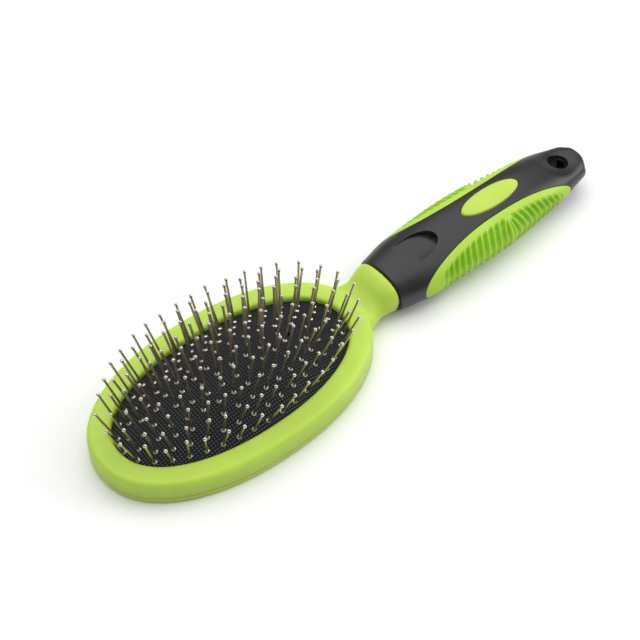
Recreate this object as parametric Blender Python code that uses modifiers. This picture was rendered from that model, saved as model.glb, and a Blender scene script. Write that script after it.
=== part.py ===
"""Cushioned pin brush for grooming pets, lying on its back with the pins up.

Lengths are in metres and +Z is up.  The brush runs along X, from the tip of the
oval head to the tail of the handle, and is symmetric about the XZ plane.  The
origin is at the middle of the footprint, on the surface that the brush lies on.
Heights are measured from that surface.
"""
import math

import bmesh
import bpy
from mathutils import Vector

# ---- driving dimensions -------------------------------------------------------

GAP = 0.0003                    # running gap between two pieces that touch

# oval head
HEAD_LENGTH = 0.1100
HEAD_WIDTH = 0.0646
HEAD_POWER = 2.15               # 2 is an ellipse, higher is squarer
HEAD_HEIGHT = 0.0090            # from the back to the flat face around the pad
RIM_WIDTH = 0.0083              # flat face between the outer edge and the pad
SHELL_WALL = 0.0022
FACE_PLATE = 0.0024             # thickness of the flat face
SEAM_HEIGHT = 0.0030            # joint line between the two shells on the head
EDGE_SOFTENING = 0.0022         # how far the face rounds down at its outer edge
BACK_SOFTENING = 0.0010

# air cushion
PAD_THICKNESS = 0.0012          # rubber with its woven facing bonded on
PAD_CROWN = 0.0115              # height of the dome above its flange
PAD_SHOULDER = 1.3              # higher makes the dome's skirt flatter
FLANGE_WIDTH = 0.0040
RIB_WIDTH = 0.0015              # support rib under the flange
VENT_POSITION = 0.0777          # from the tip of the head
VENT_RADIUS = 0.0007

# pins
PIN_LENGTH = 0.0170             # above the pad, ball included
PIN_WIDTH = 0.0009
BALL_WIDTH = 0.0019
PIN_HOLE_WIDTH = 0.0016
WEB_HEIGHT = 0.0008             # strip that carries the heads behind the rubber
LEAN_ALONG = 0.34               # outward lean at the outer ring, as a slope
LEAN_ACROSS = 0.46
# shares of the opening's length and width, count, and start in steps, of each oval
PIN_RINGS = {
    "pin_ring_outer": (0.961, 0.850, 37, 0.0),
    "pin_ring_second": (0.889, 0.700, 33, 0.5),
    "pin_ring_third": (0.794, 0.542, 29, 0.0),
    "pin_ring_fourth": (0.696, 0.367, 24, 0.0),
    "pin_ring_inner": (0.499, 0.192, 17, 0.0),
}
CENTRE_ROW = 0.261              # share of the opening's length that the row takes
CENTRE_PINS = 5

# neck
NECK_LENGTH = 0.0110            # from the head's edge to the collar
NECK_ROOT_WIDTH = 0.0270
NECK_WAIST_WIDTH = 0.0192
NECK_WAIST_HEIGHT = 0.0104
COLLAR_WIDTH = 0.0212
COLLAR_HEIGHT = 0.0152
NECK_CLEARANCE = 0.0004         # neck and collar stand this far off the surface
TANG_LENGTH = 0.0300
TANG_WIDTH = 0.0100
TANG_HEIGHT = 0.0060

# handle: distance from its mouth, half width, half thickness, underside height
HANDLE_STATIONS = (
    (0.0000, 0.0115, 0.0080, 0.0000),
    (0.0110, 0.0140, 0.0085, 0.0000),
    (0.0240, 0.0151, 0.0089, 0.0000),
    (0.0370, 0.0155, 0.0093, 0.0000),
    (0.0510, 0.0150, 0.0094, 0.0000),
    (0.0660, 0.0133, 0.0087, 0.0009),
    (0.0790, 0.0117, 0.0068, 0.0029),
    (0.0922, 0.0099, 0.0051, 0.0040),
)
HANDLE_POWER = 2.2
SLEEVE_WALL = 0.0026
TAIL_CHAMFER = 0.0045           # length of the cut corners at the tail
TAIL_END_WIDTH = 0.0092
HANG_HOLE_RADIUS = 0.00385
HANG_HOLE_TO_END = 0.0099

# what is let into the sleeve
GRIP_LENGTH = 0.0763
GRIP_TO_MOUTH = 0.0084
GRIP_NEAREST = 0.0412           # from its start to where it is nearest the middle plane
GRIP_INNER_EDGE = 0.0071        # its edge there, from the middle plane
GRIP_CURVE = 2.3                # higher holds the edge near the middle plane for longer
GRIP_MARGIN = 0.0022            # smooth border between the grooves and the edge
GROOVE_COUNT = 21
GROOVE_PITCH = 0.0030
GROOVE_START = 0.0094           # from the start of the grip to the first groove
GROOVE_TURN = 0.0429            # from the start of the grip to where the slant changes over
GROOVE_SLANT = math.radians(22.0)
GROOVE_WIDTH = 0.0019
GROOVE_DEPTH = 0.0010
INLAY_LENGTH = 0.0275
INLAY_WIDTH = 0.0098
INLAY_TO_MOUTH = 0.0381
INLAY_PROUD = 0.0004            # on top only, so that the handle lies flat
THUMB_TO_MOUTH = 0.0090         # start of the thumb recess
THUMB_LENGTH = 0.0163
THUMB_NOSE = 0.0080             # length of its round end
THUMB_WIDTH = 0.0118
THUMB_START_DEPTH = 0.0007
THUMB_DEPTH = 0.0022

# mesh fineness
HEAD_SEGMENTS = 48
PAD_SEGMENTS = 36
PAD_RINGS = (0.26, 0.50, 0.72, 0.88, 1.00)
HANDLE_SEGMENTS = 28
HANDLE_SECTIONS = 12
GRIP_STEPS = 24
OVAL_SEGMENTS = 24

# ---- derived places -----------------------------------------------------------

COLLAR_X = HEAD_LENGTH + NECK_LENGTH
MOUTH_X = COLLAR_X + GAP
HANDLE_BODY = HANDLE_STATIONS[-1][0]
TAIL_X = MOUTH_X + HANDLE_BODY + TAIL_CHAMFER
MIDDLE_X = TAIL_X / 2
HEAD_X = HEAD_LENGTH / 2
OPENING_HALF_LENGTH = HEAD_LENGTH / 2 - RIM_WIDTH
OPENING_HALF_WIDTH = HEAD_WIDTH / 2 - RIM_WIDTH
SEAM_TOP = SEAM_HEIGHT + GAP / 2
SEAM_BOTTOM = SEAM_HEIGHT - GAP / 2
PLATE_UNDERSIDE = HEAD_HEIGHT - FACE_PLATE
FLANGE_TOP = PLATE_UNDERSIDE - GAP
FLANGE_UNDERSIDE = FLANGE_TOP - PAD_THICKNESS
FLANGE_INSET = RIM_WIDTH - FLANGE_WIDTH
RIB_INSET = (RIM_WIDTH + FLANGE_INSET - RIB_WIDTH) / 2
COLLAR_SEAM = NECK_CLEARANCE + COLLAR_HEIGHT / 2
HANG_HOLE_X = TAIL_X - HANG_HOLE_TO_END

GREEN = (0.46, 0.72, 0.05)
BLACK = (0.012, 0.012, 0.013)


# ---- small helpers ------------------------------------------------------------

def clear_scene():
    for item in list(bpy.data.objects):
        bpy.data.objects.remove(item, do_unlink=True)


def new_collection(name):
    collection = bpy.data.collections.new(name)
    bpy.context.scene.collection.children.link(collection)
    return collection


def make_material(name, colour, roughness, metallic=0.0):
    material = bpy.data.materials.new(name)
    material.use_nodes = True
    shader = material.node_tree.nodes["Principled BSDF"]
    shader.inputs["Base Color"].default_value = (*colour, 1.0)
    shader.inputs["Roughness"].default_value = roughness
    shader.inputs["Metallic"].default_value = metallic
    return material


def mesh_object(name, mesh_data, collection, material=None):
    """Close a bmesh into an object, with its faces pointing outwards."""
    bmesh.ops.recalc_face_normals(mesh_data, faces=mesh_data.faces)
    mesh = bpy.data.meshes.new(name)
    mesh_data.to_mesh(mesh)
    mesh_data.free()
    item = bpy.data.objects.new(name, mesh)
    collection.objects.link(item)
    if material:
        mesh.materials.append(material)
        mesh.shade_smooth()
        mesh.set_sharp_from_angle(angle=math.radians(35))
    return item


def make_cutter(name, mesh_data, cutters):
    item = mesh_object(name, mesh_data, cutters)
    item.hide_render = True
    item.display_type = "WIRE"
    return item


def combine(item, other, operation="DIFFERENCE"):
    modifier = item.modifiers.new(operation.lower(), "BOOLEAN")
    modifier.operation = operation
    modifier.object = other
    modifier.solver = "EXACT"


def loft(rings, closed=False, bent_start=False):
    """Skin a list of rings with equal point counts; the ends are capped."""
    mesh_data = bmesh.new()
    loops = [[mesh_data.verts.new(point) for point in ring] for ring in rings]
    pairs = list(zip(loops, loops[1:]))
    if closed:
        pairs.append((loops[-1], loops[0]))
    for first, second in pairs:
        skin(mesh_data, first, second)
    if bent_start:
        cap_bent(mesh_data, loops[0])
    elif not closed:
        mesh_data.faces.new(loops[0])
    if not closed:
        mesh_data.faces.new(loops[-1])
    return mesh_data


def cap_bent(mesh_data, loop):
    """Close a bent loop with strips between its upper and its lower half."""
    for index in range(len(loop) // 2):
        corners = (loop[index], loop[index + 1], loop[-index - 1], loop[-index])
        mesh_data.faces.new(list(dict.fromkeys(corners)))


def skin(mesh_data, first, second):
    count = len(first)
    for index in range(count):
        after = (index + 1) % count
        mesh_data.faces.new((first[index], first[after], second[after], second[index]))


def signed_power(value, power):
    return math.copysign(abs(value) ** power, value)


def oval(half_a, half_b, power_a, power_b, count):
    """Points of |a|^power_a + |b|^power_b = 1, scaled to the half sizes."""
    points = []
    for index in range(count):
        angle = math.tau * index / count
        points.append((half_a * signed_power(math.cos(angle), 2 / power_a),
                       half_b * signed_power(math.sin(angle), 2 / power_b)))
    return points


def prism(outline, low, high):
    """A flat outline of (x, y) points, from one height to another."""
    return loft([[Vector((x, y, z)) for x, y in outline] for z in (low, high)])


def side_prism(outline, low, high):
    """A flat outline of (x, z) points, from one side to another."""
    return loft([[Vector((x, y, z)) for x, z in outline] for y in (low, high)])


def box_between(low, high):
    mesh_data = bmesh.new()
    bmesh.ops.create_cube(mesh_data, size=1.0)
    size = [top - bottom for bottom, top in zip(low, high)]
    middle = [(top + bottom) / 2 for bottom, top in zip(low, high)]
    bmesh.ops.scale(mesh_data, vec=size, verts=mesh_data.verts)
    bmesh.ops.translate(mesh_data, vec=middle, verts=mesh_data.verts)
    return mesh_data


def place(mesh_data):
    """Move from distances along the brush to the brush's own frame."""
    bmesh.ops.translate(mesh_data, vec=(-MIDDLE_X, 0.0, 0.0), verts=mesh_data.verts)
    return mesh_data


# ---- head ---------------------------------------------------------------------

def head_ring(inset, height, count=HEAD_SEGMENTS):
    """A level ring, the head's outline drawn in by the inset."""
    outline = oval(HEAD_LENGTH / 2 - inset, HEAD_WIDTH / 2 - inset,
                   HEAD_POWER, HEAD_POWER, count)
    return [Vector((HEAD_X + x, y, height)) for x, y in outline]


def frame_ring_mesh():
    soft = EDGE_SOFTENING
    lip = GAP
    section = (
        (0.0, SEAM_TOP),
        (0.0, HEAD_HEIGHT - 1.6 * soft),
        (0.12 * soft, HEAD_HEIGHT - 0.75 * soft),
        (0.42 * soft, HEAD_HEIGHT - 0.22 * soft),
        (soft, HEAD_HEIGHT),
        (RIM_WIDTH - lip, HEAD_HEIGHT),
        (RIM_WIDTH, HEAD_HEIGHT - lip),
        (RIM_WIDTH, PLATE_UNDERSIDE),
        (SHELL_WALL, PLATE_UNDERSIDE),
        (SHELL_WALL, SEAM_TOP),
    )
    return place(loft([head_ring(inset, height) for inset, height in section], closed=True))


def back_dish_mesh():
    rib_top = FLANGE_UNDERSIDE - GAP
    section = (
        (BACK_SOFTENING, 0.0),
        (0.2 * BACK_SOFTENING, 0.6 * BACK_SOFTENING),
        (0.0, 1.5 * BACK_SOFTENING),
        (0.0, SEAM_BOTTOM),
        (SHELL_WALL, SEAM_BOTTOM),
        (SHELL_WALL, SHELL_WALL),
        (RIB_INSET, SHELL_WALL),
        (RIB_INSET, rib_top),
        (RIB_INSET + RIB_WIDTH, rib_top),
        (RIB_INSET + RIB_WIDTH, SHELL_WALL),
    )
    return place(loft([head_ring(inset, height) for inset, height in section]))


# ---- neck ---------------------------------------------------------------------

def head_edge(y, inset):
    """Position of the head's outline beside the neck, drawn in by the inset."""
    share = min(1.0, abs(y) / (HEAD_WIDTH / 2 - inset))
    reach = (1.0 - share ** HEAD_POWER) ** (1 / HEAD_POWER)
    return HEAD_X + (HEAD_LENGTH / 2 - inset) * reach


def neck_sections():
    """Position, half width and height of the neck's flat sections."""
    waist = HEAD_LENGTH + 0.25 * NECK_LENGTH
    flare = HEAD_LENGTH + 0.62 * NECK_LENGTH
    return (
        (waist, NECK_WAIST_WIDTH / 2, NECK_WAIST_HEIGHT),
        (flare, (NECK_WAIST_WIDTH + COLLAR_WIDTH) / 4,
         (NECK_WAIST_HEIGHT + COLLAR_HEIGHT) / 2),
        (COLLAR_X - 0.1 * NECK_LENGTH, COLLAR_WIDTH / 2, COLLAR_HEIGHT),
        (COLLAR_X, COLLAR_WIDTH / 2, COLLAR_HEIGHT),
    )


def neck_mesh():
    """The neck, from roots that follow the head's curved edge to the collar."""
    rings = []
    root_height = HEAD_HEIGHT - 2 * NECK_CLEARANCE
    for half_width, inset in ((NECK_ROOT_WIDTH / 2, 0.7 * SHELL_WALL),
                              ((NECK_ROOT_WIDTH + NECK_WAIST_WIDTH) / 4, -0.4 * SHELL_WALL)):
        middle = NECK_CLEARANCE + root_height / 2
        outline = oval(half_width, root_height / 2, HANDLE_POWER, HANDLE_POWER, HANDLE_SEGMENTS)
        rings.append([Vector((head_edge(y, inset), y, middle + z)) for y, z in outline])
    for x, half_width, height in neck_sections():
        middle = NECK_CLEARANCE + height / 2
        outline = oval(half_width, height / 2, HANDLE_POWER, HANDLE_POWER, HANDLE_SEGMENTS)
        rings.append([Vector((x, y, middle + z)) for y, z in outline])
    return place(loft(rings, bent_start=True))


def seam_outline(offset, far_height):
    """The joint line of the neck, closed far above or far below it."""
    start = HEAD_LENGTH - 2 * SHELL_WALL
    end = COLLAR_X + TANG_LENGTH + SHELL_WALL
    line = [(start, SEAM_HEIGHT + 4 * offset), (HEAD_LENGTH, SEAM_HEIGHT + offset)]
    steps = 6
    for step in range(1, steps + 1):
        share = step / steps
        rise = share * share * (3 - 2 * share)
        line.append((HEAD_LENGTH + 0.6 * NECK_LENGTH * share,
                     SEAM_HEIGHT + offset + rise * (COLLAR_SEAM - SEAM_HEIGHT)))
    line += [(end, COLLAR_SEAM + offset), (end, far_height), (start, far_height)]
    return line


def tang_mesh(below):
    """Half of the tang, level with the joint line at the collar."""
    near = COLLAR_SEAM + (-GAP if below else GAP)
    far = COLLAR_SEAM + (-TANG_HEIGHT / 2 if below else TANG_HEIGHT / 2)
    low, high = min(near, far), max(near, far)
    return place(box_between((COLLAR_X - 0.2 * NECK_LENGTH, -TANG_WIDTH / 2, low),
                             (COLLAR_X + TANG_LENGTH, TANG_WIDTH / 2, high)))


def make_shell(name, body, below, collections, material):
    """A head shell with its half of the neck and of the tang."""
    parts, cutters = collections
    shell = mesh_object(name, body, parts, material)
    half_neck = make_cutter(name + "_neck", neck_mesh(), cutters)
    side = -1 if below else 1
    keep = side_prism(seam_outline(side * GAP / 2, side * 2 * HEAD_WIDTH),
                      -HEAD_WIDTH, HEAD_WIDTH)
    combine(half_neck, make_cutter(name + "_half", place(keep), cutters), "INTERSECT")
    combine(shell, half_neck, "UNION")
    combine(shell, make_cutter(name + "_tang", tang_mesh(below), cutters), "UNION")
    return shell


# ---- cushion ------------------------------------------------------------------

def pad_radius(x, y):
    """0 at the middle of the pad, 1 at the edge of the opening."""
    along = abs(x - HEAD_X) / OPENING_HALF_LENGTH
    across = abs(y) / OPENING_HALF_WIDTH
    return (along ** HEAD_POWER + across ** HEAD_POWER) ** (1 / HEAD_POWER)


def pad_height(x, y):
    """Height of the facing above the surface that the brush lies on."""
    fall = max(0.0, 1.0 - pad_radius(x, y) ** 2)
    return FLANGE_TOP + PAD_CROWN * fall ** PAD_SHOULDER


def pad_mesh():
    """The domed sheet and its flange, with its outer face on top."""
    mesh_data = bmesh.new()
    outline = oval(OPENING_HALF_LENGTH, OPENING_HALF_WIDTH,
                   HEAD_POWER, HEAD_POWER, PAD_SEGMENTS)
    loops = []
    for share in PAD_RINGS:
        ring = [(HEAD_X + share * x, share * y) for x, y in outline]
        loops.append([mesh_data.verts.new((x, y, pad_height(x, y))) for x, y in ring])
    edge = head_ring(FLANGE_INSET, FLANGE_TOP, PAD_SEGMENTS)
    loops.append([mesh_data.verts.new(point) for point in edge])
    top = mesh_data.verts.new((HEAD_X, 0.0, pad_height(HEAD_X, 0.0)))
    for index in range(PAD_SEGMENTS):
        after = (index + 1) % PAD_SEGMENTS
        mesh_data.faces.new((top, loops[0][index], loops[0][after]))
    for first, second in zip(loops, loops[1:]):
        skin(mesh_data, first, second)
    return place(mesh_data)


def make_pad(groups, collections, material):
    parts, cutters = collections
    pad = mesh_object("cushion_pad", pad_mesh(), parts, material)
    if pad.data.polygons[0].normal.z < 0:
        pad.data.flip_normals()
    solidify = pad.modifiers.new("rubber", "SOLIDIFY")
    solidify.thickness = PAD_THICKNESS
    solidify.offset = -1.0
    holes = bmesh.new()
    for group in groups.values():
        for base, axis, run in group:
            add_bar(holes, base, axis, run, PIN_HOLE_WIDTH, 4 * PAD_THICKNESS)
    vent = Vector((VENT_POSITION, 0.0, pad_height(VENT_POSITION, 0.0)))
    add_bar(holes, vent, Vector((0, 0, 1)), Vector((1, 0, 0)),
            2 * VENT_RADIUS, 4 * PAD_THICKNESS)
    combine(pad, make_cutter("pad_holes", place(holes), cutters))
    return pad


def add_bar(mesh_data, base, axis, run, width, length):
    """A square bar centred on the base."""
    side = axis.cross(run).normalized() * width / 2
    step = run.normalized() * width / 2
    loops = []
    for shift in (-length / 2, length / 2):
        centre = base + axis * shift
        corners = (centre - step - side, centre + step - side,
                   centre + step + side, centre - step + side)
        loops.append([mesh_data.verts.new(corner) for corner in corners])
    skin(mesh_data, *loops)
    mesh_data.faces.new(loops[0])
    mesh_data.faces.new(loops[1])


# ---- pins ---------------------------------------------------------------------

def ring_places(length_share, width_share, count, start):
    """Evenly spaced places around an oval, from its tip end."""
    half_length = length_share * OPENING_HALF_LENGTH
    half_width = width_share * OPENING_HALF_WIDTH
    fine = 2000
    angles = [math.pi + math.tau * index / fine for index in range(fine + 1)]
    points = [(half_length * math.cos(a), half_width * math.sin(a)) for a in angles]
    travelled = [0.0]
    for (xa, ya), (xb, yb) in zip(points, points[1:]):
        travelled.append(travelled[-1] + math.hypot(xb - xa, yb - ya))
    places = []
    cursor = 0
    for index in range(count):
        target = travelled[-1] * (index + start) / count
        while travelled[cursor + 1] < target:
            cursor += 1
        places.append((HEAD_X + points[cursor][0], points[cursor][1]))
    return places


def centre_places():
    half_length = CENTRE_ROW * OPENING_HALF_LENGTH
    step = 2 * half_length / (CENTRE_PINS - 1)
    return [(HEAD_X - half_length + index * step, 0.0) for index in range(CENTRE_PINS)]


def pin_axis(x, y):
    length_share, width_share = PIN_RINGS["pin_ring_outer"][:2]
    return Vector((LEAN_ALONG * (x - HEAD_X) / (length_share * OPENING_HALF_LENGTH),
                   LEAN_ACROSS * y / (width_share * OPENING_HALF_WIDTH), 1.0)).normalized()


def pin_frames(places, closed):
    """Base on the facing, axis, and direction to the next pin, for each pin."""
    frames = []
    count = len(places)
    for index, (x, y) in enumerate(places):
        before = places[index - 1] if closed or index else places[index]
        after = places[(index + 1) % count] if closed or index + 1 < count else places[index]
        run = Vector((after[0] - before[0], after[1] - before[1], 0.0))
        axis = pin_axis(x, y)
        run = (run - axis * run.dot(axis)).normalized()
        frames.append((Vector((x, y, pad_height(x, y))), axis, run))
    return frames


def pin_groups():
    groups = {"pin_row_centre": pin_frames(centre_places(), False)}
    for name, ring in PIN_RINGS.items():
        groups[name] = pin_frames(ring_places(*ring), True)
    return groups


def square_loop(mesh_data, centre, run, side, width):
    step, across = run * width / 2, side * width / 2
    corners = (centre - step - across, centre - step + across,
               centre + step + across, centre + step - across)
    return [mesh_data.verts.new(corner) for corner in corners]


def pin_group_mesh(frames, closed):
    """Pins standing on one strip behind the rubber."""
    mesh_data = bmesh.new()
    web_top = -(PAD_THICKNESS + GAP)
    ball_start = PIN_LENGTH - BALL_WIDTH
    stations = []
    for base, axis, run in frames:
        side = axis.cross(run)
        low = square_loop(mesh_data, base + axis * (web_top - WEB_HEIGHT), run, side, PIN_WIDTH)
        high = square_loop(mesh_data, base + axis * web_top, run, side, PIN_WIDTH)
        stations.append(((low[0], low[1], high[1], high[0]),
                         (low[3], low[2], high[2], high[3])))
        mesh_data.faces.new(low)
        mesh_data.faces.new((low[0], low[3], high[3], high[0]))
        mesh_data.faces.new((low[1], low[2], high[2], high[1]))
        below = high
        for distance, width in ((ball_start, PIN_WIDTH),
                                (ball_start + BALL_WIDTH * 0.45, BALL_WIDTH),
                                (PIN_LENGTH, BALL_WIDTH * 0.45)):
            loop = square_loop(mesh_data, base + axis * distance, run, side, width)
            skin(mesh_data, below, loop)
            below = loop
        mesh_data.faces.new(below)
    count = len(stations)
    links = range(count if closed else count - 1)
    for index in links:
        skin(mesh_data, stations[index][1], stations[(index + 1) % count][0])
    if not closed:
        mesh_data.faces.new(stations[0][0])
        mesh_data.faces.new(stations[-1][1])
    return place(mesh_data)


# ---- handle -------------------------------------------------------------------

def handle_size(distance):
    """Half width, half thickness and underside height, smooth between stations."""
    stations = HANDLE_STATIONS
    distance = min(max(distance, 0.0), HANDLE_BODY)
    index = 0
    while index < len(stations) - 2 and distance > stations[index + 1][0]:
        index += 1
    start, end = stations[index], stations[index + 1]
    length = end[0] - start[0]
    share = (distance - start[0]) / length
    sizes = []
    for column in (1, 2, 3):
        slopes = [station_slope(index, column), station_slope(index + 1, column)]
        sizes.append(hermite(start[column], end[column],
                             slopes[0] * length, slopes[1] * length, share))
    return sizes


def station_slope(index, column):
    before = HANDLE_STATIONS[max(index - 1, 0)]
    after = HANDLE_STATIONS[min(index + 1, len(HANDLE_STATIONS) - 1)]
    return (after[column] - before[column]) / (after[0] - before[0])


def hermite(start, end, slope_start, slope_end, share):
    square, cube = share ** 2, share ** 3
    return ((2 * cube - 3 * square + 1) * start + (cube - 2 * square + share) * slope_start
            + (3 * square - 2 * cube) * end + (cube - square) * slope_end)


def handle_ring(distance, grow, x=None, half_width=None):
    """A section of the handle, grown outwards all round."""
    width, thickness, underside = handle_size(distance)
    middle = underside + thickness
    outline = oval((half_width or width) + grow, thickness + grow,
                   HANDLE_POWER, HANDLE_POWER, HANDLE_SEGMENTS)
    along = MOUTH_X + distance if x is None else x
    return [Vector((along, y, middle + z)) for y, z in outline]


def handle_mesh(grow=0.0, front=0.0, tail=True, short=0.0):
    """The handle's form; without its tail it ends before the cut corners."""
    length = HANDLE_BODY - short
    rings = []
    for index in range(HANDLE_SECTIONS):
        rings.append(handle_ring(length * index / (HANDLE_SECTIONS - 1), grow))
    for point in rings[0]:
        point.x -= front
    if tail:
        rings.append(handle_ring(HANDLE_BODY, grow, TAIL_X, TAIL_END_WIDTH / 2))
    return place(loft(rings))


def core_form(extra, front=0.0):
    """The core's form, drawn in from the handle's by the sleeve."""
    return handle_mesh(-SLEEVE_WALL + extra, front, tail=False, short=SLEEVE_WALL - extra)


def handle_middle(distance):
    _, thickness, underside = handle_size(distance)
    return underside + thickness


def oval_outline(length, width, centre, gap=0.0):
    points = oval(length / 2 - gap, width / 2 - gap, 2.0, 2.0, OVAL_SEGMENTS)
    return [(centre[0] + a, centre[1] + b) for a, b in points]


def grip_edge(distance):
    """A grip's edge from the middle plane, at a distance from the start of the grip."""
    end = 0.0 if distance < GRIP_NEAREST else GRIP_LENGTH
    end_width, _, _ = handle_size(GRIP_TO_MOUTH + end)
    share = (distance - GRIP_NEAREST) / (end - GRIP_NEAREST)
    return GRIP_INNER_EDGE + (end_width + GAP - GRIP_INNER_EDGE) * share ** GRIP_CURVE


def grip_outline(side, gap=0.0):
    """A grip from above: its curved edge, closed well outside the handle."""
    points = []
    for index in range(GRIP_STEPS + 1):
        distance = GRIP_LENGTH * index / GRIP_STEPS
        points.append((MOUTH_X + GRIP_TO_MOUTH + distance, side * (grip_edge(distance) + gap)))
    return points + [(points[-1][0], side * HEAD_WIDTH), (points[0][0], side * HEAD_WIDTH)]


def inlay_outline(gap=0.0):
    centre = MOUTH_X + INLAY_TO_MOUTH + INLAY_LENGTH / 2
    return oval_outline(INLAY_LENGTH, INLAY_WIDTH, (centre, 0.0), gap)


def groove_mesh(side):
    """Slanted upright bars across one side of the handle, one for each groove."""
    mesh_data = bmesh.new()
    for index in range(GROOVE_COUNT):
        distance = GROOVE_START + index * GROOVE_PITCH
        inner = grip_edge(distance) + GRIP_MARGIN
        half_width, _, _ = handle_size(GRIP_TO_MOUTH + distance)
        if inner > half_width - GROOVE_DEPTH:
            continue
        slant = math.tan(GROOVE_SLANT if distance > GROOVE_TURN else -GROOVE_SLANT)
        x = MOUTH_X + GRIP_TO_MOUTH + distance
        far = x + slant * (HEAD_WIDTH - inner)
        outline = [(x - GROOVE_WIDTH / 2, side * inner), (x + GROOVE_WIDTH / 2, side * inner),
                   (far + GROOVE_WIDTH / 2, side * HEAD_WIDTH),
                   (far - GROOVE_WIDTH / 2, side * HEAD_WIDTH)]
        loops = [[mesh_data.verts.new((px, py, level)) for px, py in outline]
                 for level in (-HEAD_WIDTH, HEAD_WIDTH)]
        skin(mesh_data, *loops)
        mesh_data.faces.new(loops[0])
        mesh_data.faces.new(loops[1])
    return place(mesh_data)


def thumb_mesh():
    """A ramp, shallow at the neck and deepest at its round end."""
    start = MOUTH_X + THUMB_TO_MOUTH
    round_centre = start + THUMB_LENGTH - THUMB_NOSE
    outline = [(start, -THUMB_WIDTH / 2), (round_centre, -THUMB_WIDTH / 2)]
    steps = 10
    for step in range(1, steps):
        angle = -math.pi / 2 + math.pi * step / steps
        outline.append((round_centre + THUMB_NOSE * math.cos(angle),
                        THUMB_WIDTH / 2 * math.sin(angle)))
    outline += [(round_centre, THUMB_WIDTH / 2), (start, THUMB_WIDTH / 2)]
    low = []
    for x, y in outline:
        _, thickness, underside = handle_size(x - MOUTH_X)
        share = (x - start) / THUMB_LENGTH
        sink = THUMB_START_DEPTH + (THUMB_DEPTH - THUMB_START_DEPTH) * share
        low.append(Vector((x, y, underside + 2 * thickness - sink)))
    high = [Vector((x, y, 2 * HEAD_HEIGHT + THUMB_DEPTH)) for x, y in outline]
    return place(loft([low, high]))


def hang_hole_mesh(radius):
    return place(prism(oval_outline(2 * radius, 2 * radius, (HANG_HOLE_X, 0.0)),
                       -HEAD_HEIGHT, 3 * HEAD_HEIGHT))


def make_core(collections, material):
    parts, cutters = collections
    core = mesh_object("handle_core", core_form(0.0), parts, material)
    socket = box_between(
        (COLLAR_X - TANG_LENGTH, -TANG_WIDTH / 2 - GAP, COLLAR_SEAM - TANG_HEIGHT / 2 - GAP),
        (COLLAR_X + TANG_LENGTH + GAP, TANG_WIDTH / 2 + GAP, COLLAR_SEAM + TANG_HEIGHT / 2 + GAP))
    combine(core, make_cutter("core_socket", place(socket), cutters))
    combine(core, make_cutter("core_hang_hole", hang_hole_mesh(HANG_HOLE_RADIUS), cutters))
    return core


def make_sleeve(collections, material):
    parts, cutters = collections
    sleeve = mesh_object("handle_sleeve", handle_mesh(), parts, material)
    bore = make_cutter("sleeve_bore", core_form(GAP, front=SLEEVE_WALL), cutters)
    combine(sleeve, bore)
    reach = HEAD_WIDTH
    for side in (1, -1):
        combine(sleeve, make_cutter("grip_window",
                                    place(prism(grip_outline(side), -reach, reach)), cutters))
    combine(sleeve, make_cutter("inlay_windows", place(prism(inlay_outline(), -reach, reach)),
                                cutters))
    combine(sleeve, make_cutter("thumb_recess", thumb_mesh(), cutters))
    combine(sleeve, make_cutter("sleeve_hang_hole", hang_hole_mesh(HANG_HOLE_RADIUS), cutters))
    return sleeve


def make_grip(name, side, collections, material):
    parts, cutters = collections
    grip = mesh_object(name, handle_mesh(), parts, material)
    window = place(prism(grip_outline(side, GAP), -HEAD_WIDTH, HEAD_WIDTH))
    outline = make_cutter(name + "_outline", window, cutters)
    combine(grip, outline, "INTERSECT")
    combine(grip, make_cutter(name + "_back", core_form(GAP, front=SLEEVE_WALL), cutters))
    groove_bars = make_cutter(name + "_grooves", groove_mesh(side), cutters)
    combine(groove_bars, make_cutter(name + "_groove_floor", handle_mesh(-GROOVE_DEPTH), cutters))
    combine(grip, groove_bars)
    return grip


def make_inlay(name, top, collections, material):
    parts, cutters = collections
    proud = INLAY_PROUD if top else 0.0
    inlay = mesh_object(name, handle_mesh(proud), parts, material)
    level = handle_middle(INLAY_TO_MOUTH + INLAY_LENGTH / 2)
    low, high = (level, 4 * level) if top else (-level, level)
    combine(inlay, make_cutter(name + "_outline", place(prism(inlay_outline(GAP), low, high)),
                               cutters), "INTERSECT")
    combine(inlay, make_cutter(name + "_back", core_form(GAP, front=SLEEVE_WALL), cutters))
    return inlay


# ---- assembly -----------------------------------------------------------------

def main():
    clear_scene()
    collections = (new_collection("pin_brush"), new_collection("cutters"))
    plastic = make_material("green_plastic", GREEN, 0.42)
    soft_green = make_material("green_soft_grip", GREEN, 0.55)
    sleeve_black = make_material("black_soft_sleeve", (0.045, 0.045, 0.048), 0.6)
    core_black = make_material("black_core_plastic", BLACK, 0.5)
    rubber = make_material("black_woven_rubber", (0.016, 0.017, 0.017), 0.75)
    steel = make_material("steel_wire", (0.55, 0.53, 0.48), 0.28, 1.0)

    make_shell("back_shell", back_dish_mesh(), True, collections, plastic)
    make_shell("front_frame", frame_ring_mesh(), False, collections, plastic)
    groups = pin_groups()
    make_pad(groups, collections, rubber)
    for name, frames in groups.items():
        closed = name != "pin_row_centre"
        mesh_object(name, pin_group_mesh(frames, closed), collections[0], steel)
    make_core(collections, core_black)
    make_sleeve(collections, sleeve_black)
    make_grip("grip_panel_left", 1, collections, soft_green)
    make_grip("grip_panel_right", -1, collections, soft_green)
    make_inlay("oval_inlay_top", True, collections, plastic)
    make_inlay("oval_inlay_bottom", False, collections, plastic)


main()
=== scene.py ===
"""Looks of a cushioned pin brush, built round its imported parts.

Lengths are in metres.  The brush lies on its back with its pins up, and runs along X
from the tip of the oval head to the tail of the handle.  Distances along the brush are
counted from the tip; place() moves them to the brush's own frame.
"""
import math

import bmesh
import bpy
import numpy as np
from bpy.props import FloatProperty, FloatVectorProperty, IntProperty, PointerProperty
from mathutils import Matrix, Vector


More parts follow.
